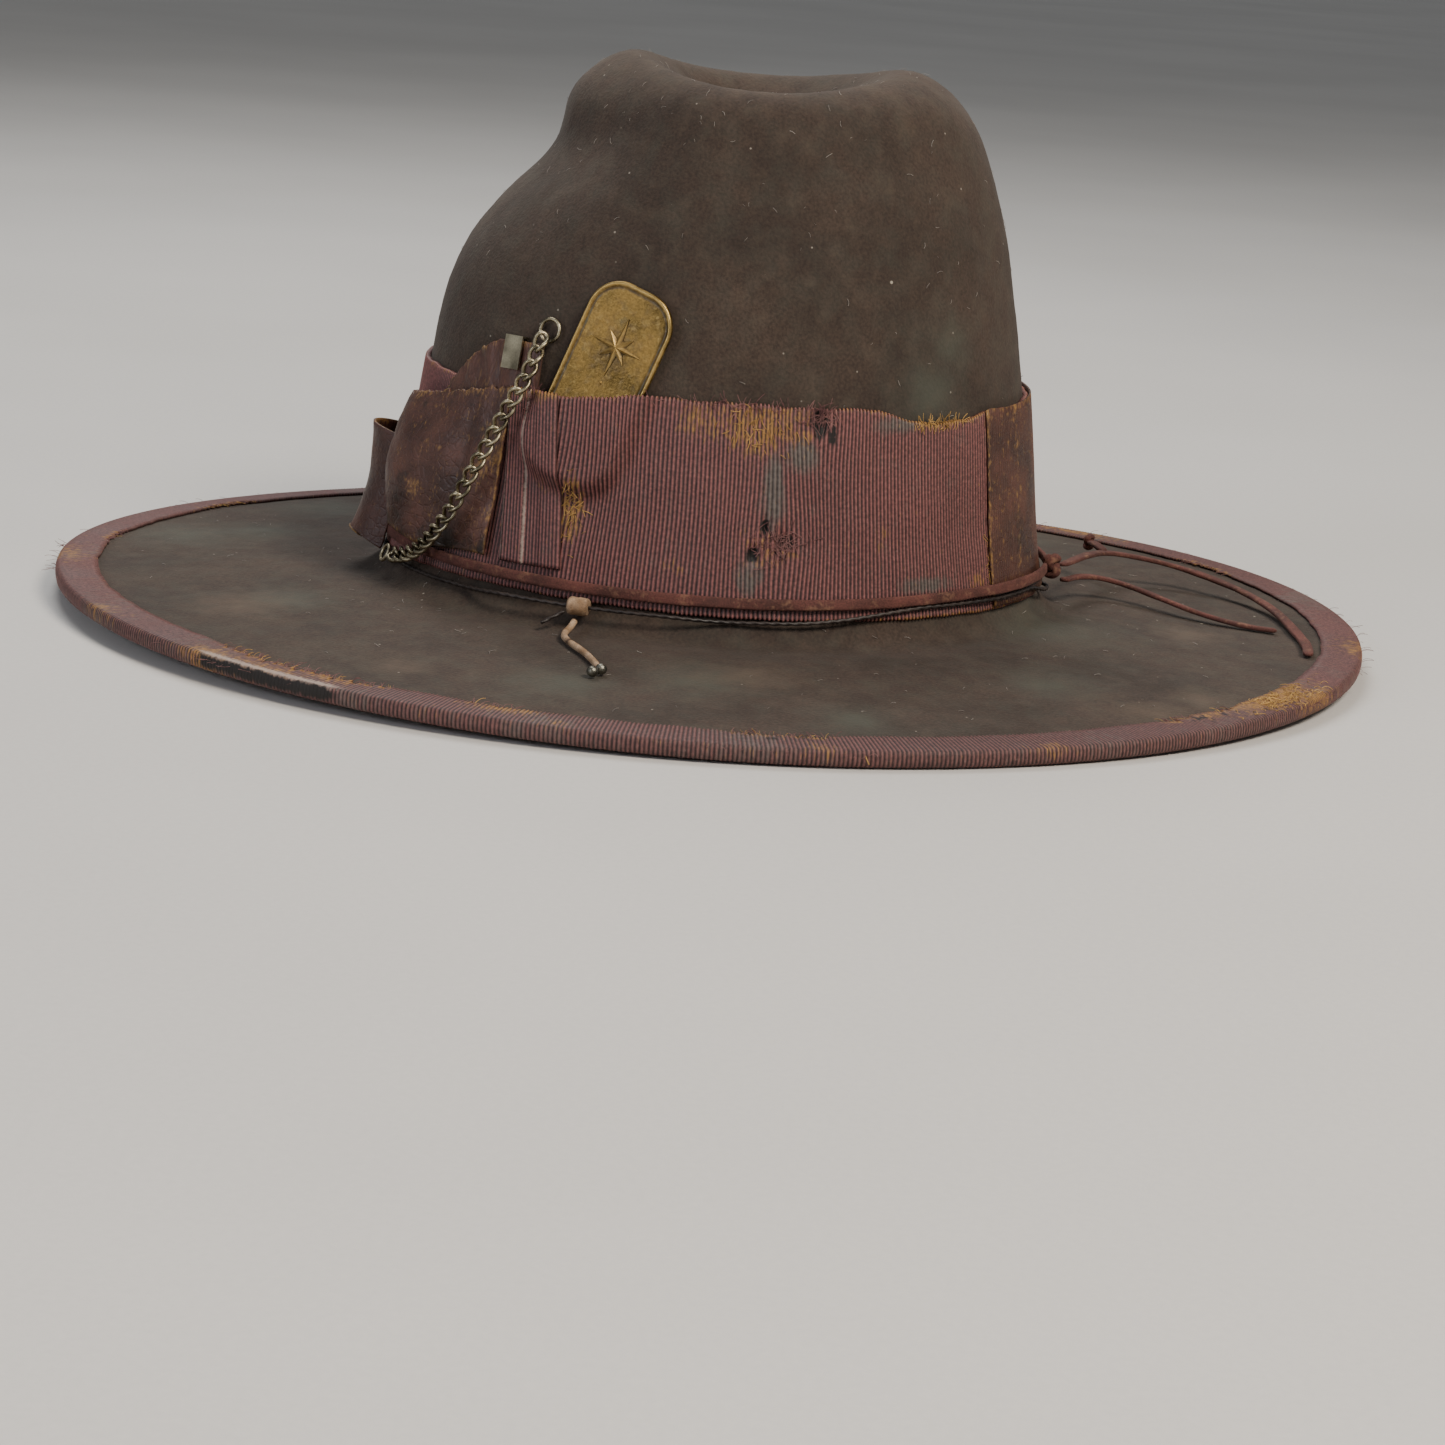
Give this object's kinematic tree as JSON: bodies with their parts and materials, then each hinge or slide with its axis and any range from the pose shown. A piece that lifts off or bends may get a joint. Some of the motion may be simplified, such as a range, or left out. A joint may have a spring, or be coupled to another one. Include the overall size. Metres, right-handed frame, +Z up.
{
  "type": "pirate hat",
  "caption": "Wide-brimmed felt costume hat with a deep ribbon band, pocketed metal tag, ribbon bow, curb chain, leather lace and waxed cord.",
  "frame": {"origin": "middle of the head opening, level with the break between crown and brim", "axes": "+Z up out of the crown, -Y the front of the hat, +X the wearer's left; the head enters along +Z"},
  "size_m": [0.364, 0.396, 0.1679],
  "materials": {
    "felt": "weathered fur felt",
    "grosgrain": "faded ribbed ribbon",
    "worn_ribbon": "abraded ribbon",
    "satin": "satin lining",
    "sweatband_leather": "smooth",
    "reed_plastic": "matte",
    "lace_leather": "suede",
    "tag_brass": "aged",
    "chain_steel": "antiqued",
    "waxed_cord": "waxed",
    "rawhide": "rough"
  },
  "bodies": {
    "hat": {"felt_body": "felt", "brim_binding": "grosgrain", "sweatband": "sweatband_leather", "sweatband_reed": "reed_plastic", "sweatband_bow": "satin", "lining_side": "satin", "lining_tip": "satin", "hatband": "grosgrain", "band_rear_lap": "worn_ribbon", "bow_puff": "worn_ribbon", "bow_tail": "grosgrain", "bow_loop": "worn_ribbon", "bow_tab": "worn_ribbon", "ribbon_clip": "chain_steel", "chain_top_ring": "chain_steel", "chain_foot_ring": "chain_steel", "leather_lace": "lace_leather", "lace_knot": "lace_leather", "lace_tail_upper": "lace_leather", "lace_tail_lower": "lace_leather", "waxed_cord": "waxed_cord"},
    "tag": {"brass_tag": "tag_brass", "tag_emblem": "tag_brass"},
    "chain": {"curb_chain": "chain_steel"},
    "barrel": {"cord_barrel": "rawhide", "cord_stub": "waxed_cord"},
    "tail": {"barrel_tail": "rawhide", "tail_bead_1": "chain_steel", "tail_bead_2": "chain_steel"}
  },
  "joints": [
    {"name": "tag_slide", "type": "slide", "parent": "hat", "child": "tag", "axis": [-0.0298, 0.3567, 0.9337], "range_m": [0, 0.024]},
    {"name": "chain_swing", "type": "hinge", "parent": "hat", "child": "chain", "pos_m": [0.03888, -0.09385, 0.0097], "axis": [-0.2976, -0.487, -0.8211], "range_deg": [0, 30]},
    {"name": "barrel_travel", "type": "hinge", "parent": "hat", "child": "barrel", "pos_m": [-0.02583, -0.00118, 0.00742], "axis": [0, 0, 1], "range_deg": [-4, 4]},
    {"name": "tail_swing", "type": "hinge", "parent": "barrel", "child": "tail", "pos_m": [0.08325, -0.03704, 0.00742], "axis": [0, 0, 1], "range_deg": [-25, 20]}
  ]
}
